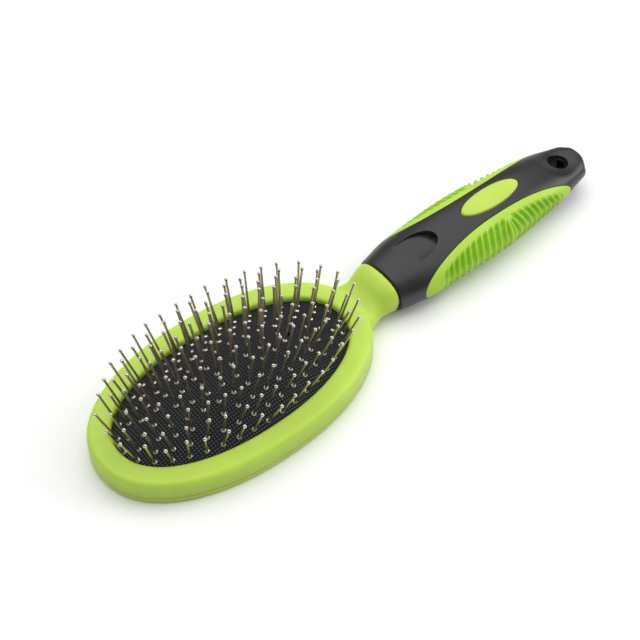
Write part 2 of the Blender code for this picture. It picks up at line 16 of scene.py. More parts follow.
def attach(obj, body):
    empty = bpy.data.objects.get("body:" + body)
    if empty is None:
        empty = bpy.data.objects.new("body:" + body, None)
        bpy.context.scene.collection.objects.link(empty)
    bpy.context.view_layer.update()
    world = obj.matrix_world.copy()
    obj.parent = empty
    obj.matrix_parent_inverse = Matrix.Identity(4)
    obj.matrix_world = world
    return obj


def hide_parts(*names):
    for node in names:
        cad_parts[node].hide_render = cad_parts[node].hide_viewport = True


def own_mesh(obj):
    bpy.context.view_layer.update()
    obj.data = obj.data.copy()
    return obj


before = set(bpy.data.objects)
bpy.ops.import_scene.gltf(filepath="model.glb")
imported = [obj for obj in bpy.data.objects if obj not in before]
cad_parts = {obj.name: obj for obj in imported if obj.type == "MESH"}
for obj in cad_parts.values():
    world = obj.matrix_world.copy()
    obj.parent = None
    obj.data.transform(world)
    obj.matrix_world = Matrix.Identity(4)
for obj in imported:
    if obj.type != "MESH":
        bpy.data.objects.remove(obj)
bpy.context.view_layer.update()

bl_info = {
    "name": "Pin Brush",
    "version": (1, 0, 0),
    "blender": (4, 5, 0),
    "location": "View3D > Sidebar > Brush",
    "description": "Builds a cushioned pin brush for grooming pets",
    "category": "Object",
}

MM = 0.001

# points round the outline of the head and of the handle
HEAD_POINTS, HANDLE_POINTS = 240, 160
# step and softening passes of the skin that melts the neck into the head
SKIN_STEP, SKIN_PASSES = 0.38 * MM, 14
# heights between which straight cutters go through the handle
CUT_LOW, CUT_HIGH = -20 * MM, 40 * MM
# thickness of the side grips and inlays where their edges show
INSET_THICK = 1.4 * MM
# width and height of each lamp, and its place, in metres
LAMPS = {
    "key": ((1.9, 1.7), (0.12, 0.40, 1.12)),
    "fill": ((0.8, 0.8), (0.95, -0.5, 0.65)),
}

# distance along the handle, half width, half thickness, height of the underside, in mm
HANDLE_STATIONS = (
    (0.0, 11.5, 8.0, 0.0),
    (11.0, 14.0, 8.5, 0.0),
    (24.0, 15.1, 8.9, 0.0),
    (37.0, 15.5, 9.3, 0.0),
    (51.0, 15.0, 9.4, 0.0),
    (66.0, 13.3, 8.7, 0.9),
    (79.0, 11.7, 6.8, 2.9),
    (94.2, 8.1, 4.5, 4.7),
)
# half length and half width in mm, count, and start in steps, of each oval of pins
PIN_OVALS = {
    "outer": (45.3, 21.3, 37, 0.0),
    "second": (41.8, 17.4, 33, 0.5),
    "third": (37.1, 13.0, 29, 0.0),
    "fourth": (32.5, 8.8, 24, 0.0),
    "inner": (23.3, 4.6, 17, 0.0),
}


# ---- sizes and colours that can be changed --------------------------------------

def length(name, description, millimetres):
    """A length in metres, with its default given in millimetres."""
    return FloatProperty(name=name, description=description, default=millimetres * MM,
                         min=0.0, unit="LENGTH", precision=5)


def colour(name, description, value):
    return FloatVectorProperty(name=name, description=description, default=value,
                               subtype="COLOR", size=3, min=0.0, max=1.0)


def number(name, description, value):
    return FloatProperty(name=name, description=description, default=value)


def angle(name, description, degrees):
    return FloatProperty(name=name, description=description,
                         default=math.radians(degrees), subtype="ANGLE")


def power(name, description, watts):
    return FloatProperty(name=name, description=description, default=watts,
                         subtype="POWER")


class BrushHead(bpy.types.PropertyGroup):
    """Sizes of the green head and neck."""
    long: length("Length", "Tip of the head to the root of the neck", 110.0)
    wide: length("Width", "Across the head", 64.6)
    power: number("Outline power", "2 is an ellipse, higher is squarer", 2.15)
    high: length("Height", "Back to the flat face around the cushion", 10.1)
    rim: length("Rim", "Width of the flat face", 8.3)
    wall: length("Wall", "Thickness of the shells", 2.2)
    seam: length("Seam height", "Joint of the two shells on the head", 3.0)
    seam_gap: length("Seam gap", "Width of the joint line", 0.3)
    outer_round: length("Outer rounding", "Radius along the outer edge of the rim", 2.2)
    inner_round: length("Inner rounding", "Radius along the opening", 1.2)
    back_round: length("Back rounding", "Radius along the edge of the back", 1.2)
    neck_root: length("Neck root", "Half width where the neck leaves the head", 13.5)
    neck_waist: length("Neck waist", "Half width of the neck where it is slimmest", 9.6)
    neck_long: length("Neck length", "Head to the end of the collar", 11.0)
    collar_wide: length("Collar width", "Half width of the collar", 10.6)
    collar_high: length("Collar height", "Height of the collar", 15.2)
    neck_lift: length("Neck clearance", "Neck and collar above the surface", 0.4)
    lower_step: length("Lower step", "How far the lower neck is drawn in", 0.35)


class BrushCushion(bpy.types.PropertyGroup):
    """Sizes of the woven-faced rubber cushion."""
    flange: length("Flange height", "Top of the clamped edge", 7.9)
    crown: length("Crown", "Height of the dome above its edge", 9.9)
    shoulder: number("Shoulder", "Higher flattens the skirt of the dome", 1.3)
    sheet: length("Sheet", "Thickness of the rubber", 1.2)
    weave: length("Weave pitch", "Distance between threads along the facing", 1.08)
    weft: length("Weft pitch", "Distance between threads across the facing", 0.98)
    vent: length("Vent", "Radius of the air hole", 0.9)
    vent_at: length("Vent place", "Tip of the head to the air hole", 79.0)
    press: length("Press", "Travel of the middle pins", 4.0)


class BrushPins(bpy.types.PropertyGroup):
    """Sizes of the wire pins."""
    long: length("Length", "Cushion to the end of the ball", 17.5)
    wire: length("Wire radius", "Radius of the wire", 0.43)
    ball: length("Ball radius", "Radius of the ball tip", 0.67)
    eyelet: length("Eyelet radius", "Radius of the eyelet at the base", 0.95)
    eyelet_high: length("Eyelet height", "Eyelet above the facing", 0.42)
    stray: number("Stray", "How unevenly the pins lean, as a slope", 0.035)
    lean_along: number("Lean along", "Outward slope at the ends of the outer oval", 0.34)
    lean_across: number("Lean across", "Outward slope at its sides", 0.46)
    middle_step: length("Middle step", "Distance between pins of the middle row", 6.1)
    middle_count: IntProperty(name="Middle count", description="Pins in the middle row",
                              default=5, min=1)


class BrushHandle(bpy.types.PropertyGroup):
    """Sizes of the handle."""
    mouth: length("Mouth", "Tip of the head to the mouth of the sleeve", 121.3)
    power: number("Section power", "2 is an ellipse, higher is squarer", 2.2)
    body: length("Body", "Mouth to the start of the cut corners", 94.2)
    chamfer: length("Tail chamfer", "Length of the cut corners", 2.5)
    tail: length("Tail width", "Half width of the end face", 4.7)
    sleeve: length("Sleeve wall", "Thickness of the sleeve", 2.6)
    line: length("Joint line", "Gap round what is let into the sleeve", 0.25)
    hole: length("Hang hole", "Radius of the hang hole", 4.0)
    hole_back: length("Hang hole place", "Hang hole to the end of the tail", 9.9)
    dish: length("Dish", "Radius of the shallow hollow round the hang hole", 9.5)
    dish_deep: length("Dish depth", "Depth of the hollow", 1.7)
    grip_long: length("Grip length", "Length of a side grip", 76.3)
    grip_at: length("Grip place", "Mouth to the start of a side grip", 8.4)
    grip_nearest: length("Grip nearest", "Start of a grip to its place nearest the middle",
                         41.2)
    grip_inner: length("Grip edge", "Middle of the handle to a grip where it is nearest", 7.1)
    grip_curve: number("Grip curve", "Higher keeps the edge near the middle longer", 2.3)
    rib_margin: length("Rib margin", "Smooth border between the ribs and a grip's edge", 2.5)
    rib_pitch: length("Rib pitch", "Distance between ribs", 2.95)
    rib_wide: length("Rib width", "Width of a rib's crest", 0.55)
    rib_deep: length("Rib depth", "Depth of the valleys", 1.2)
    rib_sway: length("Rib sway", "Sideways run of a rib from edge to middle", 3.0)
    rib_turn: length("Rib turn", "Start of a grip to where the ribs part both ways", 42.7)
    rib_part: length("Rib parting", "Turn to the nearest rib at the edge", 0.9)
    inlay_long: length("Inlay length", "Length of the oval inlay", 27.5)
    inlay_wide: length("Inlay width", "Width of the oval inlay", 9.8)
    inlay_at: length("Inlay place", "Mouth to the start of the oval inlay", 38.1)
    inlay_proud: length("Inlay height", "How far the top inlay stands proud", 0.4)
    thumb_at: length("Thumb place", "Mouth to the start of the thumb recess", 9.0)
    thumb_long: length("Thumb length", "Length of the thumb recess", 16.3)
    thumb_wide: length("Thumb width", "Width of the thumb recess", 11.8)
    thumb_nose: length("Thumb nose", "Length of the recess's round end", 10.0)
    thumb_start: length("Thumb start", "Depth of the recess next to the neck", 0.5)
    thumb_deep: length("Thumb depth", "Depth at the round end", 2.5)


class BrushColours(bpy.types.PropertyGroup):
    """Colours of the finishes."""
    plastic: colour("Green plastic", "Head shells and inlays", (0.58, 0.81, 0.10))
    grip: colour("Soft green", "Side grips", (0.50, 0.78, 0.055))
    # painted shade: this darker green stands in for the shade that falls in the valleys
    # between the ribs
    valley: colour("Valley green", "Valleys between the ribs", (0.23, 0.60, 0.008))
    sleeve: colour("Sleeve", "Soft black sleeve", (0.014, 0.014, 0.0155))
    core: colour("Core", "Black plastic inside the handle", (0.012, 0.012, 0.013))
    facing: colour("Facing", "Woven facing of the cushion", (0.0140, 0.0146, 0.0162))
    # partly the threads' own colour and partly painted highlight: it is lighter to stand in
    # for the gloss on the raised knots
    thread_and_highlight: colour("Thread", "Raised threads of the facing", (0.15, 0.165, 0.185))
    steel: colour("Wire", "Wire of the pins", (0.64, 0.57, 0.47))
    ball: colour("Ball", "Ball tips of the pins", (0.76, 0.70, 0.66))
    floor: colour("Floor", "The surface that the brush lies on", (0.64, 0.64, 0.64))


class BrushStudio(bpy.types.PropertyGroup):
    """Camera and light."""
    lens: FloatProperty(name="Lens", description="Focal length in millimetres",
                        default=94.71, subtype="DISTANCE_CAMERA")
    azimuth: angle("Azimuth", "Direction of the camera", -38.403)
    elevation: angle("Elevation", "Height of the camera as an angle", 50.0)
    roll: angle("Roll", "Turn of the camera about its view", -1.547)
    distance: length("Distance", "Camera to what it looks at", 597.645)
    target: FloatVectorProperty(name="Target", description="What the camera looks at",
                                default=(-0.010004, 0.007225, 0.0), subtype="TRANSLATION",
                                unit="LENGTH", precision=5)
    ambient: number("Ambient", "Strength of the light from all round", 0.36)
    mirrored: number("Mirrored", "Strength of the surroundings in glossy surfaces", 0.2)
    key: power("Key light", "Power of the large soft lamp overhead", 12.8)
    fill: power("Fill light", "Power of the smaller lamp beyond the tail", 6.0)
    paper: number("Paper", "How pale the floor is to the camera and in reflections", 1.10)


# ---- meshes ---------------------------------------------------------------------

def settings():
    return bpy.context.scene.pin_brush


def signed_power(value, exponent):
    return np.sign(value) * np.abs(value) ** exponent


def smooth_step(low, high, value):
    """0 at low, 1 at high, with soft ends."""
    share = np.clip((value - low) / (high - low), 0.0, 1.0)
    return share ** 2 * (3 - 2 * share)


def superellipse(half_a, half_b, exponent, count):
    """Points round |a|^p + |b|^p = 1, scaled to the half sizes, as two arrays."""
    turn = np.linspace(0.0, math.tau, count, endpoint=False)
    return (half_a * signed_power(np.cos(turn), 2 / exponent),
            half_b * signed_power(np.sin(turn), 2 / exponent))


def hermite(rows, slopes, at):
    """Smooth values between rows of numbers, each of which starts with its distance."""
    knots = rows[:, 0]
    index = np.clip(np.searchsorted(knots, at, side="right") - 1, 0, len(knots) - 2)
    span = (knots[index + 1] - knots[index])[:, None]
    share = (at - knots[index])[:, None] / span
    square, cube = share ** 2, share ** 3
    return ((2 * cube - 3 * square + 1) * rows[index]
            + (cube - 2 * square + share) * slopes[index] * span
            + (3 * square - 2 * cube) * rows[index + 1]
            + (cube - square) * slopes[index + 1] * span)


def place(points):
    """From distances along the brush to its own frame, as rows of x, y and z."""
    moved = np.array(points, float).reshape(-1, 3)
    moved[:, 0] -= settings().tail_x() / 2
    return moved


def new_object(name, points, faces, marks=None):
    """A smooth shaded object; marks are numbers on its points, by name."""
    mesh = bpy.data.meshes.new(name)
    mesh.from_pydata([tuple(point) for point in points], [], faces)
    for key, values in (marks or {}).items():
        mesh.attributes.new(key, "FLOAT", "POINT").data.foreach_set("value", values)
    shape = bmesh.new()
    shape.from_mesh(mesh)
    bmesh.ops.remove_doubles(shape, verts=shape.verts, dist=1e-7)
    bmesh.ops.recalc_face_normals(shape, faces=shape.faces)
    shape.to_mesh(mesh)
    shape.free()
    item = bpy.data.objects.new(name, mesh)
    bpy.context.scene.collection.objects.link(item)
    mesh.shade_smooth()
    return item


def grid_faces(rows, columns, closed=False):
    """Faces of a grid of points, closed where its rows are rings."""
    faces = []
    for start in range(0, (rows - 1) * columns, columns):
        below = start + columns
        for column in range(columns if closed else columns - 1):
            after = (column + 1) % columns
            faces.append((start + column, start + after, below + after, below + column))
    return faces


def loft(name, rings):
    """A closed skin over rings of equal point counts, in distances along the brush."""
    rings = np.array(rings)
    rows, columns = rings.shape[:2]
    faces = grid_faces(rows, columns, closed=True)
    faces.append(tuple(range(columns)))
    faces.append(tuple(range((rows - 1) * columns, rows * columns)))
    return new_object(name, place(rings), faces)


def bake(item):
    """Make the modifiers' result the object's own mesh."""
    graph = bpy.context.evaluated_depsgraph_get()
    mesh = bpy.data.meshes.new_from_object(item.evaluated_get(graph))
    item.modifiers.clear()
    item.data = mesh
    return item


def combine(item, other, operation):
    """Join, cut or keep the part of item inside other, which is used up."""
    modifier = item.modifiers.new(operation.lower(), "BOOLEAN")
    modifier.operation = operation
    modifier.object = other
    modifier.solver = "EXACT"
    bake(item)
    bpy.data.objects.remove(other, do_unlink=True)
    return item


def cut(item, other):
    """Cut other, which is used up, out of item."""
    return combine(item, other, "DIFFERENCE")


def ease_edges(item, width, degrees, segments=2):
    """Round the edges that are sharper than an angle."""
    modifier = item.modifiers.new("ease", "BEVEL")
    modifier.width = width
    modifier.segments = segments
    modifier.limit_method = "ANGLE"
    modifier.angle_limit = math.radians(degrees)
    modifier.use_clamp_overlap = True
    return bake(item)


def shade(item, degrees):
    """Shade smoothly, except across edges sharper than an angle."""
    item.data.shade_smooth()
    item.data.set_sharp_from_angle(angle=math.radians(degrees))


def remesh(item, size, iterations):
    """Melt overlapping closed forms into one skin, and soften it."""
    voxel = item.modifiers.new("melt", "REMESH")
    voxel.mode = "VOXEL"
    voxel.voxel_size = size
    voxel.use_smooth_shade = True
    smooth = item.modifiers.new("soften", "SMOOTH")
    smooth.factor = 0.5
    smooth.iterations = iterations
    return bake(item)


def join(item, other):
    """Put the mesh of other, which is used up, in item."""
    shape = bmesh.new()
    shape.from_mesh(item.data)
    shape.from_mesh(other.data)
    shape.to_mesh(item.data)
    shape.free()
    bpy.data.objects.remove(other, do_unlink=True)
    return item


def finish_piece(item, body, slot, material, *nodes):
    """Give a piece its material and body, and hide the parts it stands for."""
    item.data.materials.clear()
    item.data.materials.append(material)
    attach(item, body)
    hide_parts(*nodes)
    return item


# ---- materials ------------------------------------------------------------------

class Socket:
    """A shader socket on which sums are written as Python expressions."""

    def __init__(self, owner, socket):
        self.owner = owner
        self.socket = socket

    def maths(self, operation, *values):
        return self.owner.add("ShaderNodeMath", {"operation": operation},
                              dict(enumerate(values)))

    def __add__(self, other):
        return self.maths("ADD", self, other)

    __radd__ = __add__

    def __sub__(self, other):
        return self.maths("SUBTRACT", self, other)

    def __rsub__(self, other):
        return self.maths("SUBTRACT", other, self)

    def __mul__(self, other):
        return self.maths("MULTIPLY", self, other)

    __rmul__ = __mul__

    def sine(self):
        return self.maths("SINE", self)

    def clamp(self):
        return self.maths("MAXIMUM", self.maths("MINIMUM", self, 1.0), 0.0)

    def ramp(self, low, high):
        """0 at low, 1 at high, with soft ends."""
        return self.owner.add("ShaderNodeMapRange", {"interpolation_type": "SMOOTHSTEP"},
                              {"Value": self, "From Min": low, "From Max": high})


class Nodes:
    """The shader nodes of a material or of the surroundings."""

    def __init__(self, owner, output):
        owner.use_nodes = True
        self.tree = owner.node_tree
        self.tree.nodes.clear()
        self.output = self.tree.nodes.new(output)

    def add(self, kind, options=None, inputs=None, out=0):
        """Add a node, set it up, then feed its sockets; returns one of its outputs."""
        node = self.tree.nodes.new(kind)
        for key, value in (options or {}).items():
            setattr(node, key, value)
        for key, value in (inputs or {}).items():
            self.feed(node.inputs[key], value)
        return Socket(self, node.outputs[out])

    def feed(self, target, value):
        """Link a socket to another, or set it to a colour, a vector or a number."""
        if isinstance(value, Socket):
            self.tree.links.new(value.socket, target)
        elif isinstance(value, tuple) and len(value) == 3 and target.type == "RGBA":
            target.default_value = (*value, 1.0)
        else:
            target.default_value = value

    def mix(self, factor, first, second):
        """A colour between two colours."""
        return self.add("ShaderNodeMix", {"data_type": "RGBA"},
                        {0: factor, 6: first, 7: second}, out=2)

    def show(self, result):
        """Make a shader the one that is seen."""
        self.tree.links.new(result.socket, self.output.inputs["Surface"])


class Finish(Nodes):
    """A procedural material."""

    def __init__(self, name):
        self.material = bpy.data.materials.new(name)
        super().__init__(self.material, "ShaderNodeOutputMaterial")

    def position(self):
        return self.add("ShaderNodeTexCoord", out="Object")

    def axes(self):
        """The place on the piece, as three numbers."""
        split = self.add("ShaderNodeSeparateXYZ", inputs={0: self.position()})
        return [Socket(self, split.socket.node.outputs[index]) for index in range(3)]

    def noise(self, scale, detail=2.0, roughness=0.5, stretch=(1.0, 1.0, 1.0)):
        """Soft noise from 0 to 1; scale is in bumps for each metre."""
        where = self.add("ShaderNodeVectorMath", {"operation": "MULTIPLY"},
                         {0: self.position(), 1: stretch})
        return self.add("ShaderNodeTexNoise", inputs={
            "Vector": where, "Scale": scale, "Detail": detail, "Roughness": roughness})

    def bump(self, height, depth):
        """A normal for relief that is as deep as depth where height goes from 0 to 1."""
        return self.add("ShaderNodeBump", inputs={"Height": height, "Distance": depth,
                                                  "Strength": 1.0})

    def surface(self, **sockets):
        """The surface; underscores in the names stand for spaces."""
        values = {key.replace("_", " ").title().replace("Ior", "IOR"): value
                  for key, value in sockets.items()}
        self.show(self.add("ShaderNodeBsdfPrincipled", inputs=values))
        return self.material


def grey(level):
    return (level, level, level)


def tint(rgb, factor):
    return tuple(min(1.0, channel * factor) for channel in rgb)


def plastic_finish(name, rgb):
    """Moulded plastic: faint cloudiness, a fine spark-eroded grain and a soft gloss."""
    made = Finish(name)
    cloud = made.noise(60.0, detail=3.0)
    grain = made.noise(2600.0, roughness=0.6)
    colours = made.mix(cloud.ramp(0.35, 0.7), tint(rgb, 0.96), tint(rgb, 1.03))
    return made.surface(
        base_color=colours,
        roughness=0.30 + 0.10 * cloud + 0.10 * grain,
        normal=made.bump(grain + 0.6 * made.noise(700.0), depth=0.000012),
        subsurface_weight=0.7,
        subsurface_radius=(0.0030, 0.0042, 0.0007),
        subsurface_scale=1.0)


def grip_finish(name, rgb, valley):
    """Soft green rubber with a fine matt grain, and painted shade: a darker, deeper green in
    the valleys between its ribs.
    """
    made = Finish(name)
    cloud = made.noise(90.0, detail=3.0)
    grain = made.noise(3200.0, roughness=0.6)
    depth = made.add("ShaderNodeAttribute", {"attribute_name": "valley"}, out="Fac")
    colours = made.mix(cloud.ramp(0.3, 0.7), tint(rgb, 0.95), tint(rgb, 1.05))
    # painted shade: where the ribs are cut deepest the colour turns to the valley green
    colours = made.mix((0.95 * depth).clamp(), colours, valley)
    return made.surface(
        base_color=colours,
        roughness=0.38 + 0.10 * grain + 0.06 * cloud,
        normal=made.bump(grain, depth=0.000012),
        subsurface_weight=0.05,
        subsurface_radius=(0.0016, 0.0022, 0.0004),
        subsurface_scale=1.0)


def sleeve_finish(name, rgb):
    """Satin black rubber with a fine grain."""
    made = Finish(name)
    cloud = made.noise(120.0, detail=4.0)
    grain = made.noise(3800.0, roughness=0.6)
    colours = made.mix(cloud.ramp(0.3, 0.7), tint(rgb, 0.9), tint(rgb, 1.12))
    return made.surface(
        base_color=colours,
        roughness=0.27 + 0.10 * grain + 0.08 * cloud,
        normal=made.bump(grain + 0.4 * cloud, depth=0.000018),
        specular_ior_level=0.62)


def core_finish(name, rgb):
    """Plain black plastic inside the handle."""
    made = Finish(name)
    grain = made.noise(2200.0)
    return made.surface(
        base_color=made.mix(grain, tint(rgb, 0.85), tint(rgb, 1.2)),
        roughness=0.42 + 0.12 * grain,
        normal=made.bump(grain, depth=0.000015))


def facing_finish(name, rgb, thread_and_highlight, pitches):
    """Black cloth whose threads cross over and under, with painted highlights where they
    stand up, painted brighter towards -y and -x as a painted sheen.
    """
    made = Finish(name)
    x, y, _ = made.axes()
    along, across = (0.5 + 0.5 * (at * (math.tau / pitch)).sine()
                     for at, pitch in zip((x, y), pitches))
    raised = (across * along).ramp(0.42, 0.80)
    ribs = (across + along) * 0.5
    fuzz = made.noise(5200.0, roughness=0.6)
    patch = made.noise(160.0, detail=3.0)
    # painted sheen: the raised threads are drawn lighter towards -y and -x, where their gloss
    # catches the light
    painted_sheen = (-0.8 * y - 0.3 * x).ramp(0.0, 0.035)
    shine = raised * (0.15 + 0.85 * patch) * (0.4 + 1.1 * painted_sheen)
    # the raised knots take the thread colour, which is partly their own colour and partly
    # painted highlight
    colours = made.mix(shine.clamp(), rgb, thread_and_highlight)
    return made.surface(
        base_color=colours,
        roughness=0.66 - 0.30 * raised + 0.10 * fuzz,
        normal=made.bump(raised + 0.3 * ribs + 0.2 * fuzz, depth=0.00016),
        specular_ior_level=0.22,
        sheen_weight=0.06,
        sheen_roughness=0.35)


def metal_finish(name, rgb, roughness):
    """Plated wire with drawing marks and slight stains."""
    made = Finish(name)
    stain = made.noise(300.0, detail=3.0)
    marks = made.noise(1500.0, stretch=(1.0, 1.0, 0.15))
    colours = made.mix(stain.ramp(0.35, 0.75), tint(rgb, 0.93), tint(rgb, 1.05))
    return made.surface(
        base_color=colours,
        metallic=1.0,
        roughness=roughness + 0.04 * marks + 0.04 * stain,
        normal=made.bump(marks, depth=0.0000006))


# ---- head -----------------------------------------------------------------------

def head_ring(inset, height, count=HEAD_POINTS):
    """The head's outline, drawn in by inset, at a height."""
    head = settings().head
    x, y = superellipse(head.long / 2 - inset, head.wide / 2 - inset,
                        head.power, count)
    return np.stack([head.long / 2 + x, y, np.full(count, height)], axis=1)


def arc(radius, start, end, steps):
    """Inset and rise along a rounded edge, from one angle to another."""
    turns = np.linspace(math.radians(start), math.radians(end), steps)
    return [(radius * (1 - math.cos(turn)), radius * math.sin(turn)) for turn in turns]


def head_blank():
    """The oval head as a solid, rounded at both edges."""
    head = settings().head
    rings = [head_ring(inset, head.back_round - rise)
             for inset, rise in arc(head.back_round, 90.0, 0.0, 7)]
    rings += [head_ring(inset, head.high - head.outer_round + rise)
              for inset, rise in arc(head.outer_round, 0.0, 90.0, 10)]
    return loft("head_blank", rings)


def opening_cutter():
    """What is cut out for the cushion, flared so that its edge is rounded."""
    head = settings().head
    radius = head.inner_round
    rings = [head_ring(head.rim, -head.high)]
    rings += [head_ring(head.rim - inset, head.high - radius + rise)
              for inset, rise in arc(radius, 0.0, 88.0, 9)]
    rings.append(head_ring(head.rim - radius, 2 * head.high))
    return loft("opening", rings)


def head_end(y):
    """How far along the brush the head's outline reaches, at distances across it."""
    head = settings().head
    share = np.minimum(1.0, np.abs(y) / (head.wide / 2))
    reach = (1.0 - share ** head.power) ** (1 / head.power)
    return head.long / 2 + head.long / 2 * reach


def spline(stations, count):
    """Evenly spaced rows on a smooth curve through stations."""
    rows = np.array(stations, float)
    slopes = np.gradient(rows, rows[:, 0], axis=0)
    return hermite(rows, slopes, np.linspace(rows[0, 0], rows[-1, 0], count))


def neck_solid(name, drawn_in, count=96):
    """The neck, from a root inside the head's wall to the collar."""
    head = settings().head
    top = head.high - 0.15 * MM
    low = head.neck_lift + drawn_in
    end = head.long + head.neck_long
    # distance along the brush, half width and height of the top
    stations = (
        (head.long - 2.0 * MM, head.neck_root, top),
        (head.long - 0.5 * MM, 0.5 * (head.neck_root + head.neck_waist), top + 0.1 * MM),
        (head.long + 0.25 * head.neck_long, head.neck_waist, top + 1.6 * MM),
        (head.long + 0.60 * head.neck_long, head.neck_waist + 0.5 * MM, top + 4.4 * MM),
        (end - 0.16 * head.neck_long, head.collar_wide, head.neck_lift + head.collar_high),
        (end, head.collar_wide, head.neck_lift + head.collar_high),
    )
    rings = []
    for x, half_width, height in spline(stations, 44):
        half_width -= drawn_in
        half = (height - drawn_in - low) / 2
        y, z = superellipse(half_width, half, 2.4, count)
        curve = np.clip((head.long + 3.0 * MM - x) / (5.0 * MM), 0.0, 1.0)
        bent = x - curve * (head_end(0.0) - head_end(y))
        rings.append(np.stack([bent, y, low + half + z], axis=1))
    return loft(name, rings)


def seam_half(name, side):
    """Everything above or below the joint of the two shells."""
    head = settings().head
    collar_seam = head.neck_lift + head.collar_high / 2
    offset = side * head.seam_gap / 2
    share = np.linspace(0.0, 1.0, 20)
    rise = smooth_step(0.0, 1.0, share)
    line_x = np.concatenate([[-head.wide], head.long + 0.6 * head.neck_long * share,
                             [head.long + head.wide]])
    line_z = np.concatenate([[head.seam], head.seam + rise * (collar_seam - head.seam),
                             [collar_seam]]) + offset
    outline = [*zip(line_x, line_z),
               (line_x[-1], side * head.wide), (line_x[0], side * head.wide)]
    rings = [[(x, y, z) for x, z in outline] for y in (-head.wide, head.wide)]
    return loft(name, rings)


def build_shell(name, side, material, node):
    """The shell above the seam, with the opening, or the one below it, with a pocket."""
    head = settings().head
    drawn_in = 0.0 if side > 0 else head.lower_step
    shell = join(head_blank(), neck_solid("neck", drawn_in))
    shell.name = name
    remesh(shell, SKIN_STEP, SKIN_PASSES)
    end = head.long + head.neck_long
    far = head.wide
    square = ((-far, -far), (far, -far), (far, far), (-far, far))
    cut(shell, loft("collar_cut", [[(x, y, z) for y, z in square]
                                   for x in (end - 0.1 * MM, end + far)]))
    if side > 0:
        cut(shell, opening_cutter())
    else:
        cut(shell, loft("pocket", [head_ring(head.wall, head.wall),
                                   head_ring(head.wall, 2 * head.high)]))
    combine(shell, seam_half("seam", side), "INTERSECT")
    ease_edges(shell, 0.12 * MM, 50.0)
    shade(shell, 50.0)
    return finish_piece(shell, "brush", "green_plastic", material, node)


class BRUSH_OT_head(bpy.types.Operator):
    """Build the two green shells of the head with their neck"""
    bl_idname = "brush.head"
    bl_label = "Head"

    def execute(self, context):
        material = plastic_finish("green_plastic", tuple(settings().colours.plastic))
        build_shell("head_face_shell", 1, material, "front_frame")
        build_shell("head_back_shell", -1, material, "back_shell")
        return {"FINISHED"}


# ---- cushion --------------------------------------------------------------------

def cushion_height(x, y):
    """Height of the facing at distances along and across the brush."""
    head, cushion = settings().head, settings().cushion
    along = np.abs(x - head.long / 2) / (head.long / 2 - head.rim)
    across = np.abs(y) / (head.wide / 2 - head.rim)
    square = (along ** head.power + across ** head.power) ** (2 / head.power)
    rise = np.maximum(0.0, 1.0 - square) ** cushion.shoulder
    return cushion.flange + cushion.crown * rise


def pin_places(name):
    """Places of one group of pins, along and across the brush."""
    head, pins = settings().head, settings().pins
    middle = head.long / 2
    if name == "middle":
        reach = (pins.middle_count - 1) / 2
        x = middle + (np.arange(pins.middle_count) - reach) * pins.middle_step
        return x, np.zeros(pins.middle_count)
    half_long, half_wide, count, start = PIN_OVALS[name]
    turn = math.pi + np.linspace(0.0, math.tau, 2001)
    x, y = half_long * MM * np.cos(turn), half_wide * MM * np.sin(turn)
    travelled = np.concatenate([[0.0], np.cumsum(np.hypot(np.diff(x), np.diff(y)))])
    wanted = travelled[-1] * (np.arange(count) + start) / count
    return middle + np.interp(wanted, travelled, x), np.interp(wanted, travelled, y)


def build_cushion(material):
    """The domed sheet, dented a little where each pin comes through."""
    head, cushion = settings().head, settings().cushion
    columns, rows = 288, 84
    dent, dent_reach = 0.16 * MM, 1.5 * MM
    hidden_out, hidden_in = head.rim - 3.0 * MM, head.rim + 1.0 * MM
    share = np.concatenate([[0.004], np.linspace(0.0, 1.0, rows)[1:]])
    edge_x, edge_y = superellipse(head.long / 2 - head.rim, head.wide / 2 - head.rim,
                                  head.power, columns)
    x = head.long / 2 + share[:, None] * edge_x[None, :]
    y = share[:, None] * edge_y[None, :]
    z = cushion_height(x, y)
    for name in ("middle", *PIN_OVALS):
        for pin_x, pin_y in zip(*pin_places(name)):
            near = np.hypot(x - pin_x, y - pin_y) / dent_reach
            z -= dent * np.exp(-near ** 2)
    rings = list(np.stack([x, y, z], axis=2))
    rings.append(head_ring(hidden_out, cushion.flange, columns))
    rings.append(head_ring(hidden_out, cushion.flange - cushion.sheet, columns))
    rings.append(head_ring(hidden_in, cushion.flange - cushion.sheet, columns))
    pad = loft("cushion_dome", rings)
    vent_z = float(cushion_height(np.array(cushion.vent_at), np.array(0.0)))
    vent_x, vent_y = superellipse(cushion.vent, cushion.vent, 2.0, 32)
    vent = [np.stack([cushion.vent_at + vent_x, vent_y, np.full(32, level)], axis=1)
            for level in (vent_z - 1.4 * MM, vent_z + 2.0 * MM)]
    cut(pad, loft("vent", vent))
    shade(pad, 40.0)
    finish_piece(pad, "brush", "woven_rubber", material, "cushion_pad")
    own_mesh(pad)
    return pad


class BRUSH_OT_cushion(bpy.types.Operator):
    """Build the domed air cushion with its woven facing"""
    bl_idname = "brush.cushion"
    bl_label = "Cushion"

    def execute(self, context):
        colours, cushion = settings().colours, settings().cushion
        material = facing_finish("woven_facing", tuple(colours.facing),
                                 tuple(colours.thread_and_highlight), (cushion.weave, cushion.weft))
        build_cushion(material)
        return {"FINISHED"}


# ---- pins -----------------------------------------------------------------------

def turned(profile, count):
    """A turned form: rows of radius and height, as points and faces."""
    turn = np.linspace(0.0, math.tau, count, endpoint=False)
    rings = [np.stack([radius * np.cos(turn), radius * np.sin(turn),
                       np.full(count, height)], axis=1) for radius, height in profile]
    faces = grid_faces(len(profile), count, closed=True)
    return np.concatenate(rings), faces


